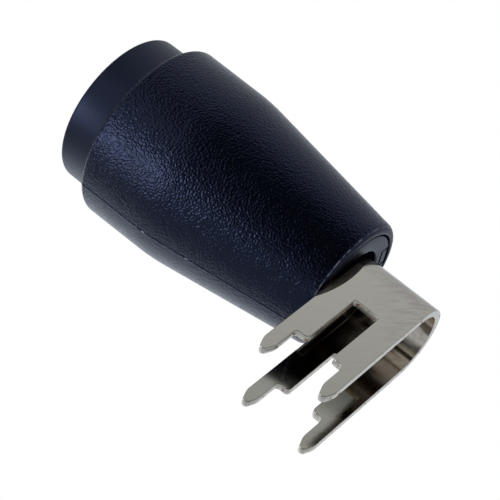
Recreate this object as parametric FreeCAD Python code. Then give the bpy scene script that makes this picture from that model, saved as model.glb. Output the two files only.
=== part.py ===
import FreeCAD, Part
import math
import os
from FreeCAD import Vector

# Right-angle board-mount jack for a shrouded 4 mm banana plug.
# X runs along the jack from its mouth (-X) to its terminals (+X), and Z points up from the board.
# The origin is the middle of the four board pins, level with the shoulders that stand on the board.

# Jack axis
axis_height = 8.45

# Moulded housing
collar_diameter = 12.4
collar_length = 3.1
body_diameter = 14.6
body_end_diameter = 14.4
body_straight = 6.4
body_taper = 13.2
rear_diameter = 10.35
well_diameter = 8.4
mouth_chamfer = 0.5
collar_chamfer = 0.2
body_edge_radius = 0.4
taper_blend_radius = 14.0
rim_radius = 0.55

# Insulator that closes the housing from behind and sleeves the contact
flange_diameter = 8.8
flange_thickness = 2.4
flange_recess = 0.03
flange_clearance = 0.15
flange_chamfer = 0.08
sleeve_diameter = 6.3
sleeve_recess = 1.5
sleeve_chamfer = 0.3
nose_thickness = 1.2
nose_clearance = 0.15
nose_chamfer = 0.5
neck_hole_diameter = 6.1
neck_hole_depth = 1.3
neck_hole_chamfer = 0.12

# Spring finger in the insulator's flange, which catches in a pocket of the housing
finger_width = 1.45
finger_thickness = 0.5
finger_gap = 0.2
finger_length = 1.7
finger_set_back = 0.2
catch_height = 0.35
catch_length = 0.5
catch_depth = 0.9
catch_clearance = 0.1

# Turn of the housing and its insulator round the contact, in degrees
housing_turn = 6.5

# Contact, rolled and folded from one strip
sheet = 0.6
plug_diameter = 4.0
barrel_clearance = 0.05
barrel_entry_gap = 0.1
seam_gap = 0.3
seam_relief = 1.2
neck_half_width = 2.9
neck_step = 0.08
neck_bottom = 3.1
neck_curve_radius = 9.4
neck_curve_height = 6.45
neck_curve_set_back = 0.575
crown_set_back = 0.4
rim_gap = 0.25

# Bracket and board pins
bracket_width = 6.4
crown_height = 10.8
pin_pitch = 5.08
pin_width = 1.05
pin_length = 2.95
pin_taper = 0.85
pin_tip_width = 0.4
pin_taper_radius = 1.4
pin_tip_radius = 0.26
pin_root_radius = 0.3
slot_width = 2.1
slot_height = 5.15
slot_corner_radius = 0.15
shoulder_radius = 0.35
bracket_gap = 0.215

# Lengths and places that follow from the sizes above
housing_length = collar_length + body_straight + body_taper
bracket_length = pin_pitch + pin_width
bracket_front = -bracket_length / 2
bracket_rear = bracket_length / 2
housing_rear = bracket_front - bracket_gap
housing_front = housing_rear - housing_length
body_front = housing_front + collar_length
taper_front = body_front + body_straight
flange_rear = housing_rear - flange_recess
flange_front = flange_rear - flange_thickness
sleeve_front = housing_front + sleeve_recess
barrel_radius = plug_diameter / 2 + sheet
barrel_front = sleeve_front + nose_thickness + barrel_entry_gap
barrel_rear = flange_rear - neck_hole_depth + barrel_entry_gap
bracket_radius = bracket_width / 2
barrel_crown = axis_height + barrel_radius
finger_top = flange_diameter / 2 - finger_set_back
finger_foot = finger_top - finger_thickness
catch_top = finger_top + catch_height + finger_set_back


def rounded(points, radii):
    """Closed flat outline in the XZ plane from (x, z) corners, each with its own rounding radius."""
    count = len(points)
    starts, arcs, ends = [], [], []
    for index in range(count):
        corner = Vector(points[index][0], 0, points[index][1])
        before = Vector(points[index - 1][0], 0, points[index - 1][1])
        after = Vector(points[(index + 1) % count][0], 0, points[(index + 1) % count][1])
        radius = radii[index]
        if radius == 0:
            starts.append(corner)
            arcs.append(None)
            ends.append(corner)
            continue
        back = (before - corner).normalize()
        ahead = (after - corner).normalize()
        half = back.getAngle(ahead) / 2
        reach = radius / math.tan(half)
        middle = (back + ahead).normalize()
        starts.append(corner + back * reach)
        ends.append(corner + ahead * reach)
        arcs.append(corner + middle * (radius / math.sin(half) - radius))
    edges = []
    for index in range(count):
        if arcs[index] is not None:
            edges.append(Part.Arc(starts[index], arcs[index], ends[index]).toShape())
        edges.append(Part.makeLine(ends[index], starts[(index + 1) % count]))
    return Part.Wire(edges)


def turned(profile):
    """Ring about the jack axis from (x, radius, corner rounding) points."""
    points = [(x, axis_height + radius) for x, radius, corner in profile]
    outline = rounded(points, [corner for x, radius, corner in profile])
    return Part.Face(outline).revolve(Vector(0, 0, axis_height), Vector(1, 0, 0), 360)


def cylinder(x_start, x_end, radius):
    """Round bar on the jack axis."""
    return Part.makeCylinder(radius, x_end - x_start, Vector(x_start, 0, axis_height), Vector(1, 0, 0))


def radial_block(width, inner_radius, outer_radius, x_start, x_end):
    """Block that stands on the housing's top line, from one radius out to another."""
    corner = Vector(x_start, -width / 2, axis_height + inner_radius)
    block = Part.makeBox(x_end - x_start, width, outer_radius - inner_radius, corner)
    block.rotate(Vector(0, 0, axis_height), Vector(1, 0, 0), housing_turn)
    return block


def housing():
    """Outer moulding: collar for the panel, barrel, taper, and bores for the plug's shroud."""
    collar = collar_diameter / 2
    body = body_diameter / 2
    well = well_diameter / 2
    seat = flange_diameter / 2 + flange_clearance
    shell = turned([
        (housing_front, well + mouth_chamfer, 0),
        (housing_front, collar - collar_chamfer, 0),
        (housing_front + collar_chamfer, collar, 0),
        (body_front, collar, 0),
        (body_front, body, body_edge_radius),
        (taper_front, body_end_diameter / 2, taper_blend_radius),
        (housing_rear, rear_diameter / 2, rim_radius),
        (housing_rear, seat, 0),
        (flange_front, seat, 0),
        (flange_front, well, 0),
        (housing_front + mouth_chamfer, well, 0),
    ])
    pocket_rear = flange_rear - catch_depth + catch_clearance
    pocket_front = flange_rear - catch_depth - catch_length - catch_clearance
    pocket_width = finger_width + 2 * catch_clearance
    pocket_top = catch_top + catch_clearance
    return shell.cut(radial_block(pocket_width, well, pocket_top, pocket_front, pocket_rear))


def contact_insulator():
    """Second moulding: a flange that fills the rear seat, and a sleeve around the contact's barrel."""
    flange = flange_diameter / 2
    sleeve = sleeve_diameter / 2
    bore = barrel_radius + barrel_clearance
    entry = plug_diameter / 2 + nose_clearance
    neck_hole = neck_hole_diameter / 2
    nose_rear = sleeve_front + nose_thickness
    hole_floor = flange_rear - neck_hole_depth
    body = turned([
        (sleeve_front, entry + nose_chamfer, 0),
        (sleeve_front, sleeve - sleeve_chamfer, 0),
        (sleeve_front + sleeve_chamfer, sleeve, 0),
        (flange_front, sleeve, 0),
        (flange_front, flange, 0),
        (flange_rear - flange_chamfer, flange, 0),
        (flange_rear, flange - flange_chamfer, 0),
        (flange_rear, neck_hole + neck_hole_chamfer, 0),
        (flange_rear - neck_hole_chamfer, neck_hole, 0),
        (hole_floor, neck_hole, 0),
        (hole_floor, bore, 0),
        (nose_rear, bore, 0),
        (nose_rear, entry, 0),
        (sleeve_front + nose_chamfer, entry, 0),
    ])
    finger_front = flange_rear - finger_length
    slot_width = finger_width + 2 * finger_gap
    outside = flange + flange_clearance
    slot = radial_block(slot_width, finger_foot - finger_gap, outside, finger_front, flange_rear)
    finger = radial_block(finger_width, finger_foot, finger_top, finger_front, flange_rear)
    catch_rear = flange_rear - catch_depth
    catch = radial_block(finger_width, finger_foot, catch_top, catch_rear - catch_length, catch_rear)
    return body.cut(slot).fuse([finger, catch]).removeSplitter()


def arched_section(x, half_width, crown, bottom):
    """Closed outline of the folded sheet across the jack: two straight sides under a round arch."""
    inner = half_width - sheet
    centre = crown - half_width
    arch = [Vector(x, 0, crown), Vector(x, 0, crown - sheet)]
    outer_left = Vector(x, -half_width, centre)
    outer_right = Vector(x, half_width, centre)
    inner_left = Vector(x, -inner, centre)
    inner_right = Vector(x, inner, centre)
    feet = [Vector(x, y, bottom) for y in (-half_width, half_width, inner, -inner)]
    edges = [
        Part.makeLine(feet[0], outer_left),
        Part.Arc(outer_left, arch[0], outer_right).toShape(),
        Part.makeLine(outer_right, feet[1]),
        Part.makeLine(feet[1], feet[2]),
        Part.makeLine(feet[2], inner_right),
        Part.Arc(inner_right, arch[1], inner_left).toShape(),
        Part.makeLine(inner_left, feet[3]),
        Part.makeLine(feet[3], feet[0]),
    ]
    return Part.Wire(edges)


def half_ring_section(x, radius, crown):
    """Closed outline of the upper half of a rolled sheet."""
    inner = radius - sheet
    centre = crown - radius
    edges = [
        Part.Arc(Vector(x, -radius, centre), Vector(x, 0, crown), Vector(x, radius, centre)).toShape(),
        Part.makeLine(Vector(x, radius, centre), Vector(x, inner, centre)),
        Part.Arc(Vector(x, inner, centre), Vector(x, 0, crown - sheet), Vector(x, -inner, centre)).toShape(),
        Part.makeLine(Vector(x, -inner, centre), Vector(x, -radius, centre)),
    ]
    return Part.Wire(edges)


def side_outline():
    """Outline of the bracket seen from the side: two legs, the slot, shoulders and tapered pins."""
    slot_front = -slot_width / 2
    slot_rear = slot_width / 2
    front_root = bracket_front + pin_width
    rear_root = bracket_rear - pin_width
    taper_top = -(pin_length - pin_taper)
    side = (pin_width - pin_tip_width) / 2
    corners = [
        (bracket_front, crown_height, 0),
        (bracket_front, taper_top, pin_taper_radius),
        (bracket_front + side, -pin_length, pin_tip_radius),
        (front_root - side, -pin_length, pin_tip_radius),
        (front_root, taper_top, pin_taper_radius),
        (front_root, 0, pin_root_radius),
        (slot_front, 0, shoulder_radius),
        (slot_front, slot_height, slot_corner_radius),
        (slot_rear, slot_height, slot_corner_radius),
        (slot_rear, 0, shoulder_radius),
        (rear_root, 0, pin_root_radius),
        (rear_root, taper_top, pin_taper_radius),
        (rear_root + side, -pin_length, pin_tip_radius),
        (bracket_rear - side, -pin_length, pin_tip_radius),
        (bracket_rear, taper_top, pin_taper_radius),
        (bracket_rear, crown_height, 0),
    ]
    return rounded([(x, z) for x, z, radius in corners], [radius for x, z, radius in corners])


def neck_relief():
    """Space in front of the bracket: straight over the crown, and curving out to the front legs."""
    curve_x = bracket_front + neck_curve_set_back - neck_curve_radius
    centre = Vector(curve_x, -bracket_width / 2, neck_curve_height)
    curve = Part.makeCylinder(neck_curve_radius, bracket_width, centre, Vector(0, 1, 0))
    crown_reach = bracket_front + crown_set_back - curve_x
    above = Part.makeBox(crown_reach, bracket_width, crown_height - neck_curve_height, centre)
    return curve.fuse(above)


def bracket():
    """Folded rear half of the contact, which stands on the board on four pins."""
    section = Part.Face(arched_section(bracket_front, bracket_radius, crown_height, -pin_length))
    folded = section.extrude(Vector(bracket_length, 0, 0))
    blank = Part.Face(side_outline()).extrude(Vector(0, bracket_width, 0))
    blank.translate(Vector(0, -bracket_width / 2, 0))
    return folded.common(blank).cut(neck_relief())


def neck():
    """Waist where the bracket's sides step in and draw together to enter the insulator."""
    crown = crown_height - neck_step
    waist_rear = bracket_front + neck_curve_set_back + neck_step
    narrow = arched_section(flange_rear, neck_half_width, crown, neck_bottom)
    wide = arched_section(waist_rear, bracket_radius - neck_step, crown, neck_bottom)
    waist = Part.makeLoft([narrow, wide], True, True)
    rim = cylinder(flange_rear - sheet, housing_rear + rim_gap, body_diameter)
    rim = rim.cut(cylinder(flange_rear - sheet, housing_rear + rim_gap, flange_diameter / 2 - rim_gap))
    waist = waist.cut(rim)
    rolled = half_ring_section(barrel_rear, barrel_radius, barrel_crown)
    drawn = half_ring_section(flange_rear, neck_half_width, crown)
    bridge = Part.makeLoft([rolled, drawn], True, True)
    return waist.fuse(bridge)


def barrel():
    """Rolled tube that the plug enters, with its seam along the underside."""
    tube = cylinder(barrel_front, barrel_rear, barrel_radius)
    tube = tube.cut(cylinder(barrel_front, barrel_rear, plug_diameter / 2))
    seam_corner = Vector(barrel_front, -seam_gap / 2, axis_height - barrel_radius - seam_relief)
    seam = Part.makeBox(barrel_rear - barrel_front, seam_gap, barrel_radius + seam_relief, seam_corner)
    return tube.cut(seam)


def contact():
    """The whole contact: barrel, waist and bracket in one piece of sheet."""
    return barrel().fuse([neck(), bracket()]).removeSplitter()


def save(name, shape):
    """Write one piece to its own file."""
    shape.exportStep("parts/" + name + ".step")


os.makedirs("parts", exist_ok=True)
save("housing", housing())
save("contact_insulator", contact_insulator())
save("contact", contact())
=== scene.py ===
import math
import bpy
from mathutils import Matrix, Vector


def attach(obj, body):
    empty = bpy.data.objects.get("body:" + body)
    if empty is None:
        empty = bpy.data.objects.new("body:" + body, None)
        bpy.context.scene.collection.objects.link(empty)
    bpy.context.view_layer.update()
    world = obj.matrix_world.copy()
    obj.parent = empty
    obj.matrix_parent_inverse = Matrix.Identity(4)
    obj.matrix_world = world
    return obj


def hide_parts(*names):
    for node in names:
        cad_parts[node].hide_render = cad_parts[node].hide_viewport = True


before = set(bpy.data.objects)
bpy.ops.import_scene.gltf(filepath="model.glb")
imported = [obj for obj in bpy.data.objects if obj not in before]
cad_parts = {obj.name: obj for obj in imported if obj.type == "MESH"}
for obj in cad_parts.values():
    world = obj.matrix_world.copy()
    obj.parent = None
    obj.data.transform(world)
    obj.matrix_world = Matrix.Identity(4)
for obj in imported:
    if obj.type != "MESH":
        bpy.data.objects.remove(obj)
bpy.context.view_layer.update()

# Camera
# Stands behind, beside and below the jack, turned on its own axis, so that the board pins come
# towards it and the jack lies across the picture from corner to corner.
view_target = Vector((-0.010122, 0, 0.005505))
view_distance = 0.109288
view_azimuth = math.radians(25.06)
view_elevation = math.radians(-37.13)
view_roll = math.radians(54.15)
focal_px = 1541.745
picture_px = 500

camera = bpy.data.objects.new("camera", bpy.data.cameras.new("camera"))
bpy.context.collection.objects.link(camera)
camera.data.sensor_width = 36
camera.data.lens = focal_px / picture_px * camera.data.sensor_width
camera.data.clip_start = 0.01
camera.data.clip_end = 2
swing = Matrix.Rotation(view_azimuth, 4, "Z")
camera_turn = swing @ Matrix.Rotation(math.pi / 2 - view_elevation, 4, "X")
camera_place = view_target + camera_turn @ Vector((0, 0, view_distance))
camera.matrix_world = (
    Matrix.Translation(camera_place) @ camera_turn @ Matrix.Rotation(view_roll, 4, "Z")
)
bpy.context.scene.camera = camera

# Studio
# A bluish white tent round the jack, open and dark past the camera's shoulder and brightest behind
# the jack, with two soft boxes by the collar. The camera sees the tent as plain white. A level pairs
# a place along the tent's axis with a brightness. A soft box has a place, a width and its watts.
tent_axis = (-0.284, 0.933, 0.219)
tent_levels = [
    (0.0, 0.025), (0.08, 0.035), (0.15, 0.18), (0.2, 0.3),
    (0.27, 0.55), (0.35, 0.5), (0.76, 0.47), (0.97, 1.0),
]
tent_colour = "#eef6ff"
soft_boxes = [
    ("soft_box_left", (-0.068, -0.026, -0.087), 0.06, 0.029),
    ("soft_box_above", (-0.066, -0.080, -0.040), 0.07, 0.006),
]
floor_size = 3
floor_depth = -0.13
floor_colour = "#f6f6f4"


def linear(hex_colour):
    """Linear colour with full alpha from an sRGB hex value."""
    parts = [int(hex_colour[place:place + 2], 16) / 255 for place in (1, 3, 5)]
    return [c / 12.92 if c <= 0.04045 else ((c + 0.055) / 1.055) ** 2.4 for c in parts] + [1]


def node(tree, kind, settings=None, **inputs):
    """Adds a node, sets its own settings, and gives each named or numbered input a value or a link."""
    made = tree.nodes.new("ShaderNode" + kind)
    for name, value in (settings or {}).items():
        setattr(made, name, value)
    for name, value in inputs.items():
        key = int(name[1:]) if name[0] == "_" else name.replace("_", " ")
        if isinstance(value, bpy.types.NodeSocket):
            tree.links.new(value, made.inputs[key])
        else:
            made.inputs[key].default_value = value
    return made


def finish(name, **constants):
    """New material with constant values on its shader's own sockets, with its tree and its shader."""
    made = bpy.data.materials.new(name)
    made.use_nodes = True
    shader = made.node_tree.nodes["Principled BSDF"]
    for socket, value in constants.items():
        shader.inputs[socket.replace("_", " ")].default_value = value
    return made, made.node_tree, shader


bpy.context.scene.view_settings.view_transform = "Standard"
tent = bpy.data.worlds.new("white_tent")
bpy.context.scene.world = tent
tent.use_nodes = True
air = tent.node_tree
air.nodes.clear()
towards = node(air, "TexCoord").outputs["Generated"]
behind = node(air, "VectorMath", {"operation": "DOT_PRODUCT"}, _0=towards, _1=tent_axis)
depth = node(air, "MapRange", Value=behind.outputs["Value"], From_Min=-1.0, From_Max=1.0)
brightness = node(air, "ValToRGB", _0=depth.outputs[0])
stops = brightness.color_ramp.elements
while len(stops) < len(tent_levels):
    stops.new(0.5)
for stop, (place, level) in zip(stops, tent_levels):
    stop.position = place
    stop.color = (level, level, level, 1)
cloth = node(air, "Mix", {"data_type": "RGBA", "blend_type": "MULTIPLY"}, _0=1.0,
             _6=brightness.outputs[0], _7=linear(tent_colour))
seen = node(air, "LightPath").outputs["Is Camera Ray"]
colour = node(air, "Mix", {"data_type": "RGBA"}, _0=seen, _6=cloth.outputs[2], _7=linear("#ffffff"))
glow = node(air, "Background", Color=colour.outputs[2])
node(air, "OutputWorld", Surface=glow.outputs[0])

for name, place, size, watts in soft_boxes:
    lamp = bpy.data.objects.new(name, bpy.data.lights.new(name, "AREA"))
    bpy.context.collection.objects.link(lamp)
    lamp.data.shape = "DISK"
    lamp.data.size = size
    lamp.data.energy = watts
    lamp.location = place
    lamp.rotation_euler = (view_target - Vector(place)).to_track_quat("-Z", "Y").to_euler()
    lamp.visible_camera = False

bpy.ops.object.select_all(action="DESELECT")
bpy.ops.mesh.primitive_plane_add(size=floor_size, location=(0, 0, floor_depth))
floor = bpy.context.active_object
floor.name = "floor"
floor.visible_glossy = False
paper = finish("floor_paper", Base_Color=linear(floor_colour), Roughness=0.9)[0]
floor.data.materials.append(paper)

# Housing
# One moulding in black polyamide: a smooth collar for the front panel, a grained barrel that tapers
# to the rear, and a well that the plug's shroud enters. It snaps over the contact's insulator.
# Places within a hair of each other count as one.
mm = 0.001
hair = 0.001 * mm
axis_height = 8.45 * mm
housing_turn = math.radians(6.5)
housing_front = -25.98 * mm
body_front = -22.88 * mm
taper_front = -16.48 * mm
housing_rear = -3.28 * mm
collar_radius = 6.2 * mm
body_radius = 7.3 * mm
body_end_radius = 7.2 * mm
rear_radius = 5.175 * mm
well_radius = 4.2 * mm
seat_radius = 4.55 * mm
flange_front = -5.71 * mm
mouth_bevel = 0.5 * mm
mouth_rounding = 0.12 * mm
collar_rounding = 0.22 * mm
body_rounding = 0.42 * mm
taper_rounding = 0.95 * mm
rim_rounding = 0.48 * mm
edge_rounding = 0.06 * mm
parting_half_width = 0.05 * mm
parting_height = 0.035 * mm
parting_end = -3.38 * mm
grain_start = -22.87 * mm
grain_end = -3.4 * mm
outside_radius = rear_radius - 0.3 * mm


def select(kind, test):
    """In edit mode, selects only the vertices, edges or faces whose corners all pass a test."""
    bpy.ops.object.mode_set(mode="OBJECT")
    mesh = bpy.context.active_object.data
    for group in (mesh.vertices, mesh.edges, mesh.polygons):
        group.foreach_set("select", [False] * len(group))
    for part in {"VERT": mesh.vertices, "EDGE": mesh.edges, "FACE": mesh.polygons}[kind]:
        corners = [part.co] if kind == "VERT" else [mesh.vertices[i].co for i in part.vertices]
        part.select = all(test(co) for co in corners)
    bpy.ops.object.mode_set(mode="EDIT")
    bpy.ops.mesh.select_mode(type=kind)


def start(name):
    """A tiny plane merged to one selected vertex at the origin, in edit mode."""
    bpy.ops.object.select_all(action="DESELECT")
    bpy.ops.mesh.primitive_plane_add(size=mm)
    bpy.context.active_object.name = name
    bpy.ops.object.mode_set(mode="EDIT")
    bpy.ops.mesh.select_mode(type="VERT")
    bpy.ops.mesh.merge(type="CENTER")


def outline(name, corners):
    """Flat face in the XZ plane from (x, z, reach of the rounding, steps) corners, in edit mode."""
    start(name)
    place = Vector((0, 0, 0))
    for index, (x, z, reach, steps) in enumerate(corners):
        move = Vector((x, 0, z)) - place
        place += move
        if index == 0:
            bpy.ops.transform.translate(value=move)
        else:
            bpy.ops.mesh.extrude_vertices_move(TRANSFORM_OT_translate={"value": move})
    bpy.ops.mesh.select_all(action="SELECT")
    bpy.ops.mesh.edge_face_add()
    for x, z, reach, steps in corners:
        if reach:
            corner = Vector((x, 0, z))
            select("VERT", lambda co: (co - corner).length < hair)
            bpy.ops.mesh.bevel(offset=reach, segments=steps, affect="VERTICES", clamp_overlap=False)


def about_axis(co):
    """Distance from the jack's axis, and angle round it from the +Y side."""
    return math.hypot(co.y, co.z - axis_height), math.atan2(co.z - axis_height, co.y)


def turned(name, profile, steps):
    """Ring spun about the jack's axis from (x, radius, reach of the rounding, steps) corners."""
    outline(name, [(x, axis_height + radius, reach, fine) for x, radius, reach, fine in profile])
    bpy.ops.mesh.select_all(action="SELECT")
    bpy.ops.transform.rotate(value=-housing_turn, orient_axis="X", center_override=(0, 0, axis_height))
    bpy.ops.mesh.delete(type="ONLY_FACE")
    bpy.ops.mesh.select_mode(type="VERT")
    bpy.ops.mesh.select_all(action="SELECT")
    bpy.ops.mesh.spin(steps=steps, angle=2 * math.pi, center=(0, 0, axis_height), axis=(1, 0, 0))
    bpy.ops.mesh.select_all(action="SELECT")
    bpy.ops.mesh.remove_doubles(threshold=hair)
    bpy.ops.mesh.normals_make_consistent(inside=False)
    bpy.ops.object.mode_set(mode="OBJECT")
    return bpy.context.active_object


housing = turned("moulded_housing", [
    (housing_front, well_radius + mouth_bevel, mouth_rounding, 3),
    (housing_front, collar_radius, collar_rounding, 5),
    (body_front, collar_radius, edge_rounding, 2),
    (body_front, body_radius, body_rounding, 8),
    (taper_front, body_end_radius, taper_rounding, 8),
    (housing_rear, rear_radius, rim_rounding, 10),
    (housing_rear, seat_radius, edge_rounding, 2),
    (flange_front, seat_radius, 0, 0),
    (flange_front, well_radius, 0, 0),
    (housing_front + mouth_bevel, well_radius, 0, 0),
], 240)


def on_parting_line(co):
    """True on the outside of the barrel where the two halves of the mould meet."""
    radius, angle = about_axis(co)
    across = radius * math.sin(angle - math.pi / 2 - housing_turn)
    return body_front < co.x < parting_end and radius > outside_radius and abs(across) < 2 * hair


select("EDGE", on_parting_line)
bpy.ops.mesh.bevel(offset=parting_half_width, segments=2, profile=0.5, affect="EDGES")
upwards = Vector((0, -math.sin(housing_turn), math.cos(housing_turn)))
for side in (1, -1):
    select("VERT", lambda co: on_parting_line(co) and side * (co.z - axis_height) > 0)
    bpy.ops.transform.translate(value=upwards * side * parting_height)
bpy.ops.object.mode_set(mode="OBJECT")

# Grained black polyamide: the mould's spark-eroded steel leaves rounded pits and grains about
# 0.15 mm apart, which scatter the light into small grey flecks. Scraped crumbs of flash stay pale
# here and there along the mould's parting line. Round the rim's edge runs a faint pale line, a
# painted highlight, flecked with fainter crumbs.
grain_pitch = 0.15 * mm
grain_depth = 0.055 * mm
crumb_size = 0.4 * mm
rim_half_width = 0.05 * mm
grained_black = linear("#04060c")
flash_and_highlight_grey = linear("#a0a6b0")
gloss_tint = linear("#aabcff")
grained, tree, shader = finish(
    "grained_black_polyamide", Roughness=0.22, IOR=1.53, Specular_Tint=gloss_tint)
place = node(tree, "TexCoord").outputs["Object"]
lumps = node(tree, "TexNoise", Vector=place, Scale=1 / grain_pitch, Detail=0.3, Roughness=0.5)
grain = node(tree, "Bump", Height=lumps.outputs["Fac"], Distance=grain_depth, Strength=1.0)
tree.links.new(grain.outputs[0], shader.inputs["Normal"])
across_seam = (0, math.cos(housing_turn), math.sin(housing_turn))
off_seam = node(tree, "VectorMath", {"operation": "DOT_PRODUCT"}, _0=place, _1=across_seam)
on_seam = node(tree, "Math", {"operation": "COMPARE"}, _0=off_seam.outputs["Value"],
               _1=axis_height * math.sin(housing_turn), _2=parting_half_width)
crumbs = node(tree, "TexNoise", Vector=place, Scale=1 / crumb_size, Detail=1.0).outputs["Fac"]
few = node(tree, "MapRange", Value=crumbs, From_Min=0.62, From_Max=0.66)
flash = node(tree, "Math", {"operation": "MULTIPLY"}, _0=on_seam.outputs[0], _1=few.outputs[0])
along = node(tree, "SeparateXYZ", Vector=place).outputs["X"]
# Painted highlight: a faint pale ring round the rim's edge, never below a twentieth of the flash grey,
# with brighter flecks.
on_rim = node(tree, "Math", {"operation": "COMPARE"}, _0=along, _1=grain_end - rim_half_width,
              _2=rim_half_width)
faint_rim_highlight = node(tree, "MapRange", Value=crumbs, From_Min=0.4, From_Max=0.62, To_Min=0.05, To_Max=0.6)
rim_highlight_and_crumbs = node(tree, "Math", {"operation": "MULTIPLY"}, _0=on_rim.outputs[0], _1=faint_rim_highlight.outputs[0])
flash_and_rim_highlight = node(tree, "Math", {"operation": "MAXIMUM"}, _0=flash.outputs[0], _1=rim_highlight_and_crumbs.outputs[0])
resin = node(tree, "Mix", {"data_type": "RGBA"}, _0=flash_and_rim_highlight.outputs[0], _6=grained_black, _7=flash_and_highlight_grey)
tree.links.new(resin.outputs[2], shader.inputs["Base Color"])

# Smooth black polyamide: the same resin against polished steel, with a faint flow waviness.
wave_pitch = 0.9 * mm
wave_depth = 0.02 * mm
smooth_black = linear("#080a12")
smooth, tree, shader = finish(
    "smooth_black_polyamide", Base_Color=smooth_black, Roughness=0.36, IOR=1.53, Specular_Tint=gloss_tint)
place = node(tree, "TexCoord").outputs["Object"]
waves = node(tree, "TexNoise", Vector=place, Scale=1 / wave_pitch, Detail=3.0)
flow = node(tree, "Bump", Height=waves.outputs["Fac"], Distance=wave_depth, Strength=0.4)
tree.links.new(flow.outputs[0], shader.inputs["Normal"])

housing.data.materials.append(grained)
housing.data.materials.append(smooth)
for face in housing.data.polygons:
    outside = about_axis(face.center)[0] > outside_radius
    face.material_index = 0 if outside and grain_start < face.center.x < grain_end else 1
bpy.ops.object.shade_smooth_by_angle(angle=math.radians(40))
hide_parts("housing")
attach(housing, "root")

# Contact insulator
# A second moulding in black polyamide. Its flange fills the seat at the housing's rear, a spring
# finger in the flange snaps into the housing, and its sleeve goes round the contact's barrel.
sleeve_front = -24.48 * mm
flange_rear = -3.31 * mm
flange_radius = 4.4 * mm
sleeve_radius = 3.15 * mm
barrel_bore = 2.65 * mm
nose_bore = 2.15 * mm
nose_thickness = 1.2 * mm
nose_bevel = 0.5 * mm
neck_hole = 3.05 * mm
neck_hole_depth = 1.3 * mm
finger_width = 1.45 * mm
finger_gap = 0.2 * mm
finger_length = 1.7 * mm
finger_top = 4.2 * mm
finger_foot = 3.7 * mm
sleeve_rounding = 0.28 * mm
flange_rounding = 0.08 * mm
neck_hole_rounding = 0.12 * mm
overshoot = 0.1 * mm

insulator = turned("flanged_insulator", [
    (sleeve_front, nose_bore + nose_bevel, edge_rounding, 2),
    (sleeve_front, sleeve_radius, sleeve_rounding, 5),
    (flange_front, sleeve_radius, 0, 0),
    (flange_front, flange_radius, 0, 0),
    (flange_rear, flange_radius, flange_rounding, 4),
    (flange_rear, neck_hole, neck_hole_rounding, 4),
    (flange_rear - neck_hole_depth, neck_hole, 0, 0),
    (flange_rear - neck_hole_depth, barrel_bore, 0, 0),
    (sleeve_front + nose_thickness, barrel_bore, 0, 0),
    (sleeve_front + nose_thickness, nose_bore, 0, 0),
    (sleeve_front + nose_bevel, nose_bore, 0, 0),
], 180)


def radial_block(name, width, inner, outer, front, rear):
    """Block on the housing's top line, from one radius out to another."""
    bpy.ops.object.select_all(action="DESELECT")
    middle = ((front + rear) / 2, 0, axis_height + (inner + outer) / 2)
    bpy.ops.mesh.primitive_cube_add(size=1, location=middle, scale=(rear - front, width, outer - inner))
    block = bpy.context.active_object
    block.name = name
    bpy.ops.object.transform_apply(location=True, rotation=True, scale=True)
    bpy.ops.object.mode_set(mode="EDIT")
    bpy.ops.mesh.select_all(action="SELECT")
    bpy.ops.transform.rotate(value=-housing_turn, orient_axis="X", center_override=(0, 0, axis_height))
    bpy.ops.object.mode_set(mode="OBJECT")
    return block


def pick(*pieces):
    """Selects only these pieces, and makes the first of them active."""
    bpy.ops.object.select_all(action="DESELECT")
    bpy.context.view_layer.objects.active = pieces[0]
    for piece in pieces:
        piece.select_set(True)


def combine(piece, tool, operation):
    """Cuts a piece with a tool, keeps what they share, or joins them, and uses the tool up."""
    pick(piece)
    change = piece.modifiers.new("combine", "BOOLEAN")
    change.operation = operation
    change.solver = "EXACT"
    change.object = tool
    bpy.ops.object.modifier_apply(modifier=change.name)
    bpy.data.objects.remove(tool)


finger_front = flange_rear - finger_length
past_front = finger_front - overshoot
past_rear = flange_rear + overshoot
slot_width = finger_width + 2 * finger_gap
slot = radial_block("slot", slot_width, finger_foot - finger_gap, seat_radius, finger_front, past_rear)
finger = radial_block("finger", finger_width, finger_foot, finger_top, past_front, past_rear)
combine(slot, finger, "DIFFERENCE")
combine(insulator, slot, "DIFFERENCE")
insulator.data.materials.append(smooth)
bpy.ops.object.shade_smooth_by_angle(angle=math.radians(35))
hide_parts("contact_insulator")
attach(insulator, "root")

# Contact
# One piece of nickel-plated copper alloy strip, 0.6 mm thick: rolled into a split barrel for the
# plug, drawn in at the neck, and folded over into two legs with tapered pins for the board.
sheet = 0.6 * mm
bracket_front = -3.065 * mm
bracket_rear = 3.065 * mm
bracket_half = 3.2 * mm
crown = 10.8 * mm
arch_height = crown - bracket_half
arch_margin = 0.1 * mm
pin_tip = -2.95 * mm
pin_width = 1.05 * mm
pin_taper = 0.85 * mm
pin_tip_width = 0.4 * mm
slot_half = 1.05 * mm
slot_height = 5.15 * mm
slot_rounding = 0.15 * mm
shoulder_rounding = 0.35 * mm
root_rounding = 0.3 * mm
taper_blend = 0.25 * mm
tip_rounding = 0.18 * mm
strip_rounding = 0.05 * mm
blank_margin = 0.2 * mm
relief_radius = 9.4 * mm
relief_height = 6.45 * mm
relief_reach = 0.575 * mm
relief_width = 8 * mm
relief_rise = 6 * mm
crown_set_back = 0.4 * mm
neck_step = 0.08 * mm
neck_half = 2.9 * mm
neck_bottom = 3.1 * mm
waist_length = 0.25 * mm
rim_gap = 0.25 * mm
barrel_radius = 2.6 * mm
barrel_front = -23.18 * mm
barrel_rear = -4.51 * mm
seam_reach = 0.1 * mm


def open_ring(name, x, radius, height, gone):
    """Circle across the jack without the corners that pass a test, in edit mode."""
    bpy.ops.object.select_all(action="DESELECT")
    bpy.ops.mesh.primitive_circle_add(vertices=96, radius=radius, location=(x, 0, height),
                                      rotation=(0, math.pi / 2, 0))
    bpy.context.active_object.name = name
    bpy.ops.object.transform_apply(location=True, rotation=True, scale=True)
    select("VERT", gone)
    bpy.ops.mesh.delete(type="VERT")


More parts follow.
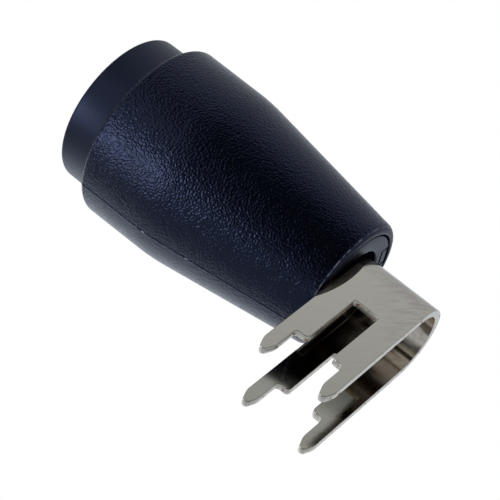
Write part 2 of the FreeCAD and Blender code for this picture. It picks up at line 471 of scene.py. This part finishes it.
def thicken():
    """Gives the active surface the strip's thickness on its inner side."""
    bpy.ops.object.mode_set(mode="OBJECT")
    wall = bpy.context.active_object.modifiers.new("strip", "SOLIDIFY")
    wall.thickness = sheet
    wall.offset = -1
    wall.use_even_offset = True
    bpy.ops.object.modifier_apply(modifier=wall.name)


# The bracket is half a ring with straight sides below it, kept to the outline of the flat blank and
# cut back in front, straight over the crown and along a curve down to the front legs.
open_ring("folded_contact", bracket_front, bracket_half, arch_height, lambda co: co.z < arch_height - hair)
select("VERT", lambda co: co.z < arch_height + hair)
leg = (0, 0, pin_tip - overshoot - arch_height)
bpy.ops.mesh.extrude_vertices_move(TRANSFORM_OT_translate={"value": leg})
bpy.ops.mesh.select_all(action="SELECT")
bpy.ops.mesh.extrude_region_move(TRANSFORM_OT_translate={"value": (bracket_rear - bracket_front, 0, 0)})
bpy.ops.mesh.select_all(action="SELECT")
bpy.ops.mesh.normals_make_consistent(inside=False)
thicken()
contact = bpy.context.active_object

pin_side = (pin_width - pin_tip_width) / 2
taper_top = pin_tip + pin_taper
half_outline = [
    (slot_half, slot_height, slot_rounding, 4),
    (slot_half, 0, shoulder_rounding, 8),
    (bracket_rear - pin_width, 0, root_rounding, 6),
    (bracket_rear - pin_width, taper_top, taper_blend, 5),
    (bracket_rear - pin_width + pin_side, pin_tip, tip_rounding, 6),
    (bracket_rear - pin_side, pin_tip, tip_rounding, 6),
    (bracket_rear, taper_top, taper_blend, 5),
    (bracket_rear, crown + mm, 0, 0),
]
mirrored = [(-x, z, reach, fine) for x, z, reach, fine in reversed(half_outline)]
outline("blank", half_outline + mirrored)
bpy.ops.mesh.select_all(action="SELECT")
bpy.ops.transform.translate(value=(0, -bracket_half - blank_margin, 0))
blank_width = 2 * bracket_half + 2 * blank_margin
bpy.ops.mesh.extrude_region_move(TRANSFORM_OT_translate={"value": (0, blank_width, 0)})
bpy.ops.mesh.select_all(action="SELECT")
bpy.ops.mesh.normals_make_consistent(inside=False)
bpy.ops.object.mode_set(mode="OBJECT")
combine(contact, bpy.context.active_object, "INTERSECT")

curve_x = bracket_front + relief_reach - relief_radius
bpy.ops.object.select_all(action="DESELECT")
bpy.ops.mesh.primitive_cylinder_add(vertices=360, radius=relief_radius, depth=relief_width,
                                    location=(curve_x, 0, relief_height), rotation=(math.pi / 2, 0, 0))
curve_tool = bpy.context.active_object
bpy.ops.object.select_all(action="DESELECT")
above = bracket_front + crown_set_back - curve_x
above_middle = (curve_x + above / 2, 0, relief_height + relief_rise / 2)
bpy.ops.mesh.primitive_cube_add(size=1, location=above_middle, scale=(above, relief_width, relief_rise))
combine(curve_tool, bpy.context.active_object, "UNION")
combine(contact, curve_tool, "DIFFERENCE")

# Satin nickel over copper alloy: it mirrors its surroundings softly, with the faint ripple and the
# fine diagonal streaks of the rolled strip, which show most at the crown's rear. Inside the fold,
# from above the feet to the arch, the nickel is painted dark and brown: painted shade. The far rear
# leg's foot bows by a quarter of a millimetre, and its painted shade starts further up.
painted_shade_start = 0.9 * mm
painted_shade_full = 1.5 * mm
arch_fade_start = 5.5 * mm
arch_fade_end = 8.2 * mm
bow_width = 2.6 * mm
bow_start = 0.7 * mm
bow_end = 3.1 * mm
bow_depth = 0.27 * mm
shade_lift_on_bow = 2.1 * mm
streak_pitch = 0.32 * mm
streak_slant = math.radians(39)
streak_stretch = 6
crest_start = 5.5 * mm
crest_end = 9.5 * mm
ripple_pitch = 0.6 * mm
ripple_depth = 0.01 * mm
bright_nickel = linear("#ddd6c5")
streak_nickel = linear("#d1c3b8")
painted_shade_nickel = linear("#726b65")
nickel, tree, shader = finish("satin_nickel_plate", Metallic=1.0, Roughness=0.13)
place = node(tree, "TexCoord").outputs["Object"]
spot = node(tree, "SeparateXYZ", Vector=place).outputs
across = node(tree, "Math", {"operation": "ABSOLUTE"}, _0=spot["Y"])
lifted = node(tree, "Math", {"operation": "MAXIMUM"}, _0=spot["Z"], _1=arch_height)
in_arch = node(tree, "Math", {"operation": "SUBTRACT"}, _0=lifted.outputs[0], _1=arch_height)
reach = node(tree, "CombineXYZ", X=across.outputs[0], Y=in_arch.outputs[0])
from_fold = node(tree, "VectorMath", {"operation": "LENGTH"}, _0=reach.outputs[0])
# Painted shade: inside the fold the base colour darkens from above the feet and fades out towards the
# arch; on the far rear leg's bowed foot it starts higher.
inside = node(tree, "Math", {"operation": "LESS_THAN"}, _0=from_fold.outputs["Value"],
              _1=bracket_half - sheet / 2)
bowed = inside
for operation, channel, edge in (
    ("GREATER_THAN", "X", 0.0),
    ("LESS_THAN", "X", bow_width),
    ("GREATER_THAN", "Y", 0.0),
):
    within = node(tree, "Math", {"operation": operation}, _0=spot[channel], _1=edge)
    bowed = node(tree, "Math", {"operation": "MULTIPLY"}, _0=within.outputs[0], _1=bowed.outputs[0])
lower = node(tree, "Math", {"operation": "MULTIPLY_ADD"}, _0=bowed.outputs[0], _1=-shade_lift_on_bow, _2=spot["Z"])
deep = node(tree, "MapRange", Value=lower.outputs[0], From_Min=painted_shade_start, From_Max=painted_shade_full)
shade_in_fold = node(tree, "Math", {"operation": "MULTIPLY"}, _0=inside.outputs[0], _1=deep.outputs[0])
below = node(tree, "MapRange", Value=spot["Z"], From_Min=arch_fade_start, From_Max=arch_fade_end,
             To_Min=1.0, To_Max=0.0)
painted_shade = node(tree, "Math", {"operation": "MULTIPLY"}, _0=shade_in_fold.outputs[0], _1=below.outputs[0])
slanted = node(tree, "Mapping", {"vector_type": "TEXTURE"}, Vector=place,
               Rotation=(0, streak_slant, 0), Scale=(1, 1, streak_stretch))
streaks = node(tree, "TexNoise", Vector=slanted.outputs[0], Scale=1 / streak_pitch, Detail=1.5,
               Roughness=0.6)
sharp = node(tree, "MapRange", Value=streaks.outputs["Fac"], From_Min=0.4, From_Max=0.6)
corner = node(tree, "Math", {"operation": "ADD"}, _0=spot["X"], _1=spot["Z"])
crest = node(tree, "MapRange", Value=corner.outputs[0], From_Min=crest_start, From_Max=crest_end,
             To_Min=0.15)
streaked = node(tree, "Math", {"operation": "MULTIPLY"}, _0=crest.outputs[0], _1=sharp.outputs[0])
bright = node(tree, "Mix", {"data_type": "RGBA"}, _0=streaked.outputs[0], _6=bright_nickel,
              _7=streak_nickel)
# Base colour: bright or streaked nickel, mixed towards dark brown by the painted shade inside the fold.
plating = node(tree, "Mix", {"data_type": "RGBA"}, _0=painted_shade.outputs[0], _6=bright.outputs[2],
               _7=painted_shade_nickel)
tree.links.new(plating.outputs[2], shader.inputs["Base Color"])
foot = node(tree, "MapRange", Value=spot["Z"], From_Min=bow_start, From_Max=bow_end)
curve = node(tree, "Math", {"operation": "POWER"}, _0=foot.outputs[0], _1=1.5)
lean = node(tree, "Math", {"operation": "MULTIPLY"}, _0=curve.outputs[0], _1=bowed.outputs[0])
bow = node(tree, "Bump", Height=lean.outputs[0], Distance=bow_depth, Strength=1.0)
ripple = node(tree, "TexNoise", Vector=place, Scale=1 / ripple_pitch, Detail=3.0, Roughness=0.5)
rippled = node(tree, "Bump", Normal=bow.outputs[0], Height=ripple.outputs["Fac"],
               Distance=ripple_depth, Strength=0.3)
tree.links.new(rippled.outputs[0], shader.inputs["Normal"])

# Nickel on the drawn neck, painted a dark mottled brown and dull: painted shade where the neck sits in the
# recess by the insulator.
neck_mottle_size = 0.5 * mm
dark_neck_shade = linear("#443e39")
light_neck_shade = linear("#7a7066")
shaded_neck, tree, shader = finish("nickel_with_painted_shade_on_neck", Metallic=1.0, Roughness=0.32)
place = node(tree, "TexCoord").outputs["Object"]
neck_mottle = node(tree, "TexNoise", Vector=place, Scale=1 / neck_mottle_size, Detail=3.0, Roughness=0.6)
neck_shade_colour = node(tree, "Mix", {"data_type": "RGBA"}, _0=neck_mottle.outputs["Fac"], _6=dark_neck_shade, _7=light_neck_shade)
tree.links.new(neck_shade_colour.outputs[2], shader.inputs["Base Color"])

# Plated sheared edge: the punch left these edges rougher and the plating thinner on them, so they
# scatter more light and some of the warm copper alloy shows.
tear_size = 0.35 * mm
tear_depth = 0.04 * mm
edge_nickel = linear("#dcd6ca")
bare_copper = linear("#a87560")
sheared, tree, shader = finish("nickel_on_sheared_edge", Metallic=1.0)
place = node(tree, "TexCoord").outputs["Object"]
torn = node(tree, "TexNoise", Vector=place, Scale=1 / tear_size, Detail=3.0, Roughness=0.6)
bare = node(tree, "MapRange", Value=torn.outputs["Fac"], From_Min=0.58, From_Max=0.66).outputs[0]
metal = node(tree, "Mix", {"data_type": "RGBA"}, _0=bare, _6=edge_nickel, _7=bare_copper)
tree.links.new(metal.outputs[2], shader.inputs["Base Color"])
worn = node(tree, "MapRange", Value=bare, To_Min=0.22, To_Max=0.45)
tree.links.new(worn.outputs[0], shader.inputs["Roughness"])
tear = node(tree, "Bump", Height=torn.outputs["Fac"], Distance=tear_depth, Strength=0.3)
tree.links.new(tear.outputs[0], shader.inputs["Normal"])

for material in (nickel, sheared, shaded_neck):
    contact.data.materials.append(material)
pick(contact)
bpy.ops.object.mode_set(mode="EDIT")
bpy.ops.mesh.select_all(action="SELECT")
bpy.ops.mesh.remove_doubles(threshold=4 * hair)
bpy.ops.mesh.select_all(action="SELECT")
bpy.ops.mesh.dissolve_limited(angle_limit=math.radians(0.5))
bpy.ops.object.mode_set(mode="OBJECT")
for face in contact.data.polygons:
    under = abs(face.normal.y) < 0.05 and face.center.z < arch_height - arch_margin
    face.material_index = 1 if under or abs(face.normal.x) > 0.5 else 0
rounding = contact.modifiers.new("rounding", "BEVEL")
rounding.width = strip_rounding
rounding.segments = 3
rounding.limit_method = "ANGLE"
rounding.angle_limit = math.radians(40)
rounding.use_clamp_overlap = False
bpy.ops.object.modifier_apply(modifier=rounding.name)

# The barrel leaves out its lowest corner, which opens the seam. Its upper half is drawn wider and a
# little lower into the neck, whose sides reach down and widen to just inside the bracket.
open_ring("barrel", barrel_front, barrel_radius, axis_height,
          lambda co: co.z < axis_height and abs(co.y) < seam_reach)
bpy.ops.mesh.select_all(action="SELECT")
bpy.ops.mesh.extrude_region_move(TRANSFORM_OT_translate={"value": (barrel_rear - barrel_front, 0, 0)})

neck_crown = crown - neck_step
neck_centre = neck_crown - neck_half
waist_front = flange_rear + waist_length
waist_rear = bracket_front + relief_reach + neck_step
select("EDGE", lambda co: co.x > barrel_rear - hair and co.z > axis_height - hair)
draw = (flange_rear - barrel_rear, 0, neck_centre - axis_height)
bpy.ops.mesh.extrude_region_move(TRANSFORM_OT_translate={"value": draw})
spread = neck_half / barrel_radius
bpy.ops.transform.resize(value=(1, spread, spread), center_override=(flange_rear, 0, neck_centre))
select("VERT", lambda co: co.x > flange_rear - hair and co.z < neck_centre + hair)
bpy.ops.mesh.extrude_vertices_move(TRANSFORM_OT_translate={"value": (0, 0, neck_bottom - neck_centre)})
select("EDGE", lambda co: co.x > flange_rear - hair)
bpy.ops.mesh.extrude_region_move(TRANSFORM_OT_translate={"value": (waist_front - flange_rear, 0, 0)})
widening = (bracket_half - neck_step) / neck_half
bpy.ops.transform.resize(value=(1, widening, 1), center_override=(waist_front, 0, 0))
select("VERT", lambda co: co.x > waist_front - hair and co.z > neck_centre - hair)
bpy.ops.transform.resize(value=(1, 1, widening), center_override=(waist_front, 0, neck_crown))
select("EDGE", lambda co: co.x > waist_front - hair)
bpy.ops.mesh.extrude_region_move(TRANSFORM_OT_translate={"value": (waist_rear - waist_front, 0, 0)})
bpy.ops.mesh.select_all(action="SELECT")
bpy.ops.mesh.normals_make_consistent(inside=False)
thicken()
barrel = bpy.context.active_object
for material in (nickel, sheared, shaded_neck):
    barrel.data.materials.append(material)

rim_front = flange_rear - sheet
rim_rear = housing_rear + rim_gap
rim = turned("rim", [
    (rim_front, flange_radius - rim_gap, 0, 0),
    (rim_front, body_radius, 0, 0),
    (rim_rear, body_radius, 0, 0),
    (rim_rear, flange_radius - rim_gap, 0, 0),
], 96)
combine(barrel, rim, "DIFFERENCE")
# The neck's faces, from just inside the insulator's flange back, take the neck's painted shade.
for face in barrel.data.polygons:
    face.material_index = 2 if face.center.x > rim_front else 0
pick(contact, barrel)
bpy.ops.object.join()

bpy.ops.object.shade_smooth_by_angle(angle=math.radians(35))
even = contact.modifiers.new("even_light", "WEIGHTED_NORMAL")
even.keep_sharp = True
even.weight = 100
bpy.ops.object.modifier_apply(modifier=even.name)
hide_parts("contact")
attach(contact, "root")
